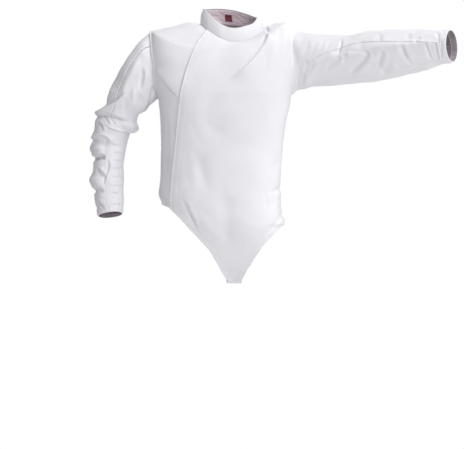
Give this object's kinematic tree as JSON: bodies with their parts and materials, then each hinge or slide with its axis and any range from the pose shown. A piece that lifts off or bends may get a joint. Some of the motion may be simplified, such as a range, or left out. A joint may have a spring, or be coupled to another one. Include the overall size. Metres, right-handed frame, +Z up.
{
  "type": "fencing jacket",
  "caption": "White heavy-cotton fencing jacket, filled out as worn with one sleeve raised, with a wrapped front, a stand collar and a long V front.",
  "frame": {"origin": "the middle of the neck opening at the height of the shoulder seams, where the wearer's neck and shoulders hold the jacket up", "axes": "+Z up, the front faces -Y, +X is the wearer's left, towards the raised sleeve"},
  "size_m": [0.9953, 0.315, 0.7701],
  "materials": {
    "white_cotton": "matte heavy cotton twill",
    "lining": "matte brushed lining cloth",
    "label": "woven ribbon"
  },
  "bodies": {
    "root": {"front_over": "white_cotton", "front_under": "white_cotton", "back": "white_cotton", "crotch_strap": "white_cotton", "sleeve_left_upper": "white_cotton", "sleeve_left_under": "white_cotton", "sleeve_right_upper": "white_cotton", "sleeve_right_under": "white_cotton", "cuff_left": "white_cotton", "cuff_right": "white_cotton", "collar": "white_cotton", "collar_lining": "lining", "neck_label": "label"}
  },
  "joints": []
}
